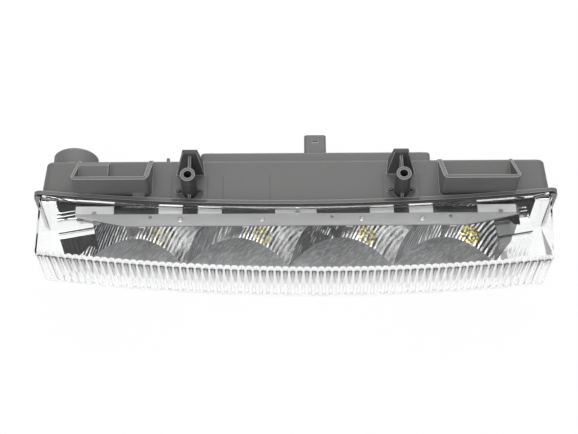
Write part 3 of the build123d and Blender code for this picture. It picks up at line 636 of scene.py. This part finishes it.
wing_shape = bmesh.new()
wing_shape.from_mesh(wing(middle=-106.0, half=8.5, rear=-9.8, step=-16.7, front=-19.2))
wing_shape.from_mesh(wing(middle=105.9, half=8.6, rear=-10.3, step=-19.9, front=-22.4))
for left, right in cheek_spans:
    prism(wing_shape, [(cheek_rear, cheek_top), (cheek_front, cheek_top), (cheek_front, cheek_foot),
                       (cheek_rear, cheek_foot)], left, right)
bmesh.ops.recalc_face_normals(wing_shape, faces=wing_shape.faces)
wing_mesh = finished_mesh("wings", wing_shape)
wings = put_in_scene("reflector_wings", wing_mesh)

# The left wing's front and the steps stay dull; the right wing's rim carries a painted reflection
# of the dark housing.
coat_foot = -26.9
cheek_start = -6.0
step_middle = -25.75
step_half = 0.75
rim_side = 118.0
wing_finish, wing_tree = new_finish("wing_coat")
wing_place = piece_place(wing_tree)
wing_x = coordinate(wing_place, "X")
wing_y = coordinate(wing_place, "Y")
wing_z = coordinate(wing_place, "Z")
wing_grain = noise(wing_place, scale=300.0)
wing_right = wing_x > 0.0
wing_upper = (wing_z > coat_foot * mm).math("MAXIMUM", wing_right)
wing_faces = wing_upper.math("MAXIMUM", wing_y > cheek_start * mm)
wing_step = (abs(wing_z - step_middle * mm) < step_half * mm) * (wing_y < cheek_start * mm)
wing_coated = wing_faces * (1 - wing_step)
wing_rim_reflection = wing_right * (wing_x - wing_y * 0.35 - wing_z * 0.24 < rim_side * mm)
wing_mirror = wing_grain.blend(grey(0.93), grey(0.97))
wing_bright = wing_rim_reflection.blend(wing_mirror, wing_grain.blend(grey(0.1), grey(0.34)))
wing_dull = wing_grain.blend(grey(0.01), grey(0.06))
close_finish(wing_tree, {"Base Color": wing_coated.blend(wing_dull, wing_bright),
                         "Metallic": wing_coated * 0.95, "Specular IOR Level": 0.05,
                         "Roughness": wing_grain * 0.1 + 0.6 - wing_coated * 0.52,
                         "Normal": bump(wing_grain, strength=0.15, distance=0.1 * mm)})
wing_mesh.materials.append(wing_finish)
wing_edges = wings.modifiers.new("edges", "BEVEL")
wing_edges.width = wing_edge * mm
wing_edges.segments = 2
wing_edges.limit_method = "ANGLE"
plain_mesh(wings)
smooth(wings.data)
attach(wings, "root")


# Screws under the carrier and through the reflector's lugs: zinc-plated steel thread formers with
# flat heads, driven before the lens goes on.
screw_finish = rolled_metal("screw_steel", dull=(0.5, 0.49, 0.45, 1), bright=(0.68, 0.67, 0.63, 1),
                            roughness=0.25, stretch=(1.0, 1.0, 1.0))
dress("carrier_screws", screw_finish)
dress("reflector_screws", screw_finish)


# Lens and its sealing bead: a clear acrylic box, moulded with a bowed front and with upright flutes
# inside the front wall. It is welded over a thin dark bead to the housing's flange.
lens_half = 123.7
lens_front_wall = 2.2
lens_end_wall = 0.7
lens_skin_wall = 1.6
lens_edge = 1.2
lens_edge_steps = 5
lens_inner_half = lens_half - lens_end_wall
lens_top = -17.6
lens_bottom = -48.1
lens_rear_middle = -9.0
lens_front_middle = -42.5
front_bow = 7.5
front_skew = 2.0
right_draft = 2.3
end_wall_shares = (0.1, 0.4, 0.65, 0.85, 1.0)
flange_rim_steps = (1.0, 1.7, 2.2, 2.55, 2.8)
flange_top_lip = 1.0
flange_base_lip = 3.2
lip_rise_start = 114.0
lip_rise_length = 8.0
flange_corner = 4.0
flange_thickness = 0.9
flute_count = 72
flute_columns = 8
flute_depth = 0.8
flute_slack = 0.5
flute_facing = 0.3
base_slack = 0.05


def lens_rear(x):
    return lens_rear_middle + flange_bow * (x / flange_half) ** 2


def lens_front(x):
    return lens_front_middle + front_bow * (x / lens_half) ** 2 - front_skew * x / lens_half


def rounding(past, radius):
    """How far a corner of that radius has fallen back, at a distance past its start."""
    past = min(max(past, 0.0), radius)
    return radius - sqrt(radius ** 2 - past ** 2)


def lens_outside(x):
    """The outer section at X as (y, z): flange, top, rounded front, bottom, flange."""
    rear = lens_rear(x)
    shoulder = rear - flange_thickness
    fallen = rounding(abs(x) - flange_half + flange_corner, flange_corner)
    rise = min(max((abs(x) - lip_rise_start) / lip_rise_length, 0.0), 1.0)
    lip = flange_top_lip + (flange_base_lip - flange_top_lip) * rise - fallen
    lip_top = lens_top + lip
    lip_base = lens_bottom - (flange_base_lip - fallen)
    front = lens_front(x) + rounding(abs(x) - lens_half + lens_edge, lens_edge)
    turns = [i * pi / 2 / lens_edge_steps for i in range(lens_edge_steps + 1)]
    upper = [(front + lens_edge * (1 - sin(a)), lens_top - lens_edge * (1 - cos(a))) for a in turns]
    lower = [(y, lens_top + lens_bottom - z) for y, z in reversed(upper)]
    return ([(rear, lip_top), (shoulder, lip_top), (shoulder, lens_top)] + upper + lower
            + [(shoulder, lens_bottom), (shoulder, lip_base), (rear, lip_base)])


def lens_inside(x, ridge):
    """The inner section at X, from the bottom's rear edge round to the top's."""
    rear = lens_rear(x)
    front = lens_front(x) + lens_front_wall + ridge
    low = lens_bottom + lens_skin_wall
    high = lens_top - lens_skin_wall
    return [(rear, low), (front, low), (front, high), (rear, high)]


flute_pitch = 2 * lens_inner_half / flute_count
flute_radius = (flute_pitch ** 2 / 4 + flute_depth ** 2) / (2 * flute_depth)
lens_shape = bmesh.new()


def lens_points(x, section):
    """A row of points at X; the right end of the box draws in a little towards the front."""
    rear = lens_rear(x)
    draft = right_draft * max(x, 0.0) / lens_half / (rear - lens_front(x))
    places = [(x - draft * (rear - y), y, z) for y, z in section]
    return [lens_shape.verts.new([v * mm for v in place]) for place in places]


def lens_skin(first, second, loop=False):
    """Faces between two rows of points."""
    for i in range(0 if loop else 1, len(first)):
        lens_shape.faces.new([first[i - 1], first[i], second[i], second[i - 1]])


flute_xs = []
for i in range(flute_count * flute_columns + 1):
    off_middle = (i % flute_columns) * flute_pitch / flute_columns - flute_pitch / 2
    ridge = sqrt(flute_radius ** 2 - off_middle ** 2) - flute_radius + flute_depth
    flute_xs.append((-lens_inner_half + i * flute_pitch / flute_columns, max(ridge, 0.0)))
outer_rows = [lens_points(x, lens_outside(x)) for x, ridge in flute_xs]
inner_rows = [lens_points(x, lens_inside(x, ridge)) for x, ridge in flute_xs]
rings = [outer + inner for outer, inner in zip(outer_rows, inner_rows)]
for ring_before, ring_after in zip(rings, rings[1:]):
    lens_skin(ring_before, ring_after, loop=True)
for side, index in ((-1, 0), (1, -1)):
    previous = outer_rows[index]
    inside = inner_rows[index]
    lens_shape.faces.new(inside)
    rear_extra = [inside[3], inside[0]]
    for share in end_wall_shares:
        x = side * (lens_inner_half + share * lens_end_wall)
        row = lens_points(x, lens_outside(x))
        lens_skin(previous, row)
        lens_shape.faces.new([previous[0]] + rear_extra + [previous[-1], row[-1], row[0]])
        rear_extra = []
        previous = row
    lens_shape.faces.new(previous[2:-2])
    before = previous[:3] + previous[-3:]
    for past in flange_rim_steps:
        x = side * (lens_half + past)
        section = lens_outside(x)
        rim = lens_points(x, section[:2] + section[-2:])
        lens_shape.faces.new([before[0], before[1], rim[1], rim[0]])
        lens_shape.faces.new(before[1:-1] + [rim[2], rim[1]])
        lens_shape.faces.new([before[-2], before[-1], rim[3], rim[2]])
        lens_shape.faces.new([before[-1], before[0], rim[0], rim[3]])
        before = rim
    lens_shape.faces.new(before)
bmesh.ops.recalc_face_normals(lens_shape, faces=lens_shape.faces)
lens_mesh = finished_mesh("lens", lens_shape)
smooth(lens_mesh, angle=35)


def clear_plastic(name, haze, alpha=1.0):
    """Clear acrylic that lets the lamps through; alpha below 1 stands for a finely grained face."""
    finish, tree = new_finish(name)
    cloud = noise(piece_place(tree), scale=90.0)
    clear = cloud.blend((0.98, 0.985, 0.985, 1), (0.995, 1.0, 1.0, 1))
    # The grey specular tint halves the reflections: painted darkening standing in for darker
    # surroundings.
    glass = tree.node("ShaderNodeBsdfPrincipled", None,
                      {"Base Color": clear, "Roughness": cloud * haze, "Alpha": alpha, "IOR": 1.49,
                       "Transmission Weight": 1.0, "Specular Tint": grey(0.5)})
    through = tree.node("ShaderNodeBsdfTransparent", None, {"Color": grey(0.95)})
    shadow = tree.node("ShaderNodeLightPath", output="Is Shadow Ray")
    surface = tree.node("ShaderNodeMixShader", None, {0: shadow, 1: glass, 2: through})
    tree.node("ShaderNodeOutputMaterial", None, {"Surface": surface})
    return finish


lens_mesh.materials.append(clear_plastic("clear_plastic", haze=0.04))
lens_mesh.materials.append(clear_plastic("clear_plastic_base", haze=0.3, alpha=0.25))
lens_mesh.materials.append(clear_plastic("clear_plastic_flutes", haze=0.22))
for face in lens_mesh.polygons:
    depth_in = face.center.y / mm - lens_front(face.center.x / mm)
    highest = max(lens_mesh.vertices[i].co.z for i in face.vertices)
    if highest < (lens_bottom + base_slack) * mm:
        face.material_index = 1
    elif face.normal.y > flute_facing and depth_in < lens_front_wall + flute_depth + flute_slack:
        face.material_index = 2
lens_piece = put_in_scene("fluted_lens", lens_mesh)
settle(lens_piece, "lens")


def rubber(name, dark, light):
    """A dull skin with a fine grain, for rubber, ferrite, resin and film."""
    finish, tree = new_finish(name)
    skin = noise(piece_place(tree), scale=1200.0, detail=3.0)
    close_finish(tree, {"Base Color": skin.blend(dark, light), "Roughness": skin * 0.2 + 0.65,
                        "Normal": bump(skin, strength=0.4, distance=0.04 * mm)})
    return finish


dress("lens_seal", rubber("seal_rubber", grey(0.05), grey(0.09)))


# Driver: a small board behind the rear wall with a choke, two capacitors and three chips, and two
# flat leads up to the LED board. Plated contact pins stand in the plug shroud.
dress("driver_board", laminate("driver_laminate", (0.015, 0.07, 0.03, 1), (0.04, 0.16, 0.07, 1),
                               track_axis="X", track_pitch=3.1))
dress("driver_choke", rubber("choke_ferrite", grey(0.025), grey(0.05)))
dress("driver_capacitors", rolled_metal("capacitor_can", dull=grey(0.55), bright=grey(0.7),
                                        roughness=0.25, stretch=(1.0, 0.1, 1.0)))
dress("driver_chips", rubber("chip_resin", grey(0.012), grey(0.024)))
dress("led_leads", rubber("lead_sleeve", (0.3, 0.02, 0.015, 1), (0.45, 0.04, 0.03, 1)))
dress("terminal_pins", rolled_metal("pin_metal", dull=(0.75, 0.72, 0.64, 1),
                                    bright=(0.86, 0.83, 0.76, 1), roughness=0.2,
                                    stretch=(1.0, 0.08, 1.0)))


# Rear cover: dark grey moulding over the driver, in one piece with the plug shroud, on a flat seal.
# Four pan-head screws hold it to the housing.
dress("cover_seal", rubber("cover_seal_rubber", grey(0.03), grey(0.055)))
dress("rear_cover", moulded_plastic("cover_plastic", level=0.145, grain_scale=2200.0,
                                    roughness=0.48, edge=0.3))

pan_profile = [(0, 1.8), (0.18, 1.8), (0.36, 1.8), (0.6, 1.79), (0.85, 1.78), (1.1, 1.77),
               (1.3, 1.75), (1.45, 1.73), (1.7, 1.67), (2.0, 1.58), (2.5, 1.25), (2.75, 0.8),
               (2.8, 0.3), (2.7, 0.0), (1.45, 0.0), (1.45, -12.4), (0.5, -13.5), (0, -13.5)]
pan_face = 1.5
cross_arm = 0.36
cross_reach = 1.5
cross_depth = 1.2
cross_slope = 0.35
cross_turn = pi / 7
quarter = pi / 2
pan_mesh = turned(pan_profile, segments=64)
for corner in pan_mesh.vertices:
    radius = corner.co.xy.length / mm
    turn = atan2(corner.co.y, corner.co.x) + cross_turn
    off_arm = radius * abs(sin((turn + quarter / 2) % quarter - quarter / 2))
    if corner.co.z > pan_face * mm and radius < cross_reach and off_arm < cross_arm:
        corner.co.z -= (cross_depth - cross_slope * radius) * mm
pan_mesh.transform(Matrix.Rotation(-quarter, 4, "X"))
smooth(pan_mesh)
cover_back = 25.6
cover_screw_xs = (-42, 62)
cover_screw_zs = (-38.3, -29.3)
cover_screw_places = [(x, cover_back, z) for x in cover_screw_xs for z in cover_screw_zs]
cover_screws = repeated("cover_screw_heads", pan_mesh, cover_screw_places, screw_finish)
settle(cover_screws, "cover_screws")


# Breather: a moulded cap pushed over the spigot behind the left end, with a pale membrane inside it
# that lets the lamp breathe and keeps water out.
dress("vent_cap", moulded_plastic("cap_plastic", level=0.16, grain_scale=1800.0, roughness=0.55))
dress("vent_membrane", rubber("membrane_film", grey(0.7), grey(0.8)))


# Studio: a pale floor, large soft lamps behind, above and in front, and a white surround. Floor and
# surround are white to the camera and in reflections, and the floor keeps a trace of the shadows.
floor_half = 3.0
floor_z = cad_box[0][2]
floor_shape = bmesh.new()
bmesh.ops.create_grid(floor_shape, x_segments=1, y_segments=1, size=floor_half)
floor_mesh = finished_mesh("floor", floor_shape)
floor_mesh.transform(Matrix.Translation((0, 0, floor_z)))
floor = put_in_scene("floor", floor_mesh)
floor_finish, floor_tree = new_finish("floor")


def seen_share(tree):
    """1 for what the camera sees straight, through glass or mirrored, 0 for light on dull faces."""
    path = {way: tree.node("ShaderNodeLightPath", output=way)
            for way in ("Is Camera Ray", "Is Glossy Ray", "Is Transmission Ray", "Diffuse Depth")}
    straight = path["Is Camera Ray"].math("MAXIMUM", path["Is Transmission Ray"])
    sharp = straight.math("MAXIMUM", path["Is Glossy Ray"])
    return sharp * (path["Diffuse Depth"] < 0.5)


floor_paper = floor_tree.node("ShaderNodeBsdfDiffuse", None, {"Color": grey(0.5)})
floor_glow = floor_tree.node("ShaderNodeEmission", None, {"Color": grey(1.0), "Strength": 1.06})
floor_mix = floor_tree.node("ShaderNodeMixShader", None,
                            {0: seen_share(floor_tree) * 0.9, 1: floor_paper, 2: floor_glow})
floor_tree.node("ShaderNodeOutputMaterial", None, {"Surface": floor_mix})
floor_mesh.materials.append(floor_finish)

world = bpy.data.worlds.new("studio")
world.use_nodes = True
world.node_tree.nodes.clear()
world_tree = Shade(world.node_tree)
surround = world_tree.node("ShaderNodeBackground", None,
                           {"Color": grey(1.0), "Strength": seen_share(world_tree) * 0.75 + 0.25})
world_tree.node("ShaderNodeOutputWorld", None, {"Surface": surround})
bpy.context.scene.world = world


def soft_lamp(name, place, width, depth, power):
    """A rectangular lamp aimed at the middle of the part."""
    aim = Vector((0, 0, -20 * mm))
    light = bpy.data.lights.new(name, "AREA")
    light.shape = "RECTANGLE"
    light.size = width
    light.size_y = depth
    light.energy = power
    lamp = bpy.data.objects.new(name, light)
    lamp.location = place
    lamp.rotation_euler = (aim - Vector(place)).to_track_quat("-Z", "Y").to_euler()
    bpy.context.scene.collection.objects.link(lamp)


soft_lamp("key", place=(0.1, 0.85, 0.5), width=1.2, depth=0.6, power=9.5)
soft_lamp("top", place=(-0.2, -0.45, 1.0), width=1.0, depth=0.6, power=4.0)
soft_lamp("fill", place=(-0.4, -0.9, 0.6), width=0.9, depth=0.7, power=4.0)

camera_down = 63.0
camera_turn = -0.1
camera_roll = -0.25
camera_data = bpy.data.cameras.new("camera")
camera_data.lens = 78.6
camera_data.sensor_width = 36.0
camera = bpy.data.objects.new("camera", camera_data)
camera.location = (-3.81 * mm, -288.32 * mm, 520.8 * mm)
camera_aim = Euler((radians(90.0 - camera_down), 0.0, radians(camera_turn))).to_matrix()
camera.rotation_euler = (camera_aim @ Matrix.Rotation(radians(camera_roll), 3, "Z")).to_euler()
bpy.context.scene.collection.objects.link(camera)
bpy.context.scene.camera = camera
bpy.context.scene.view_settings.view_transform = "Standard"
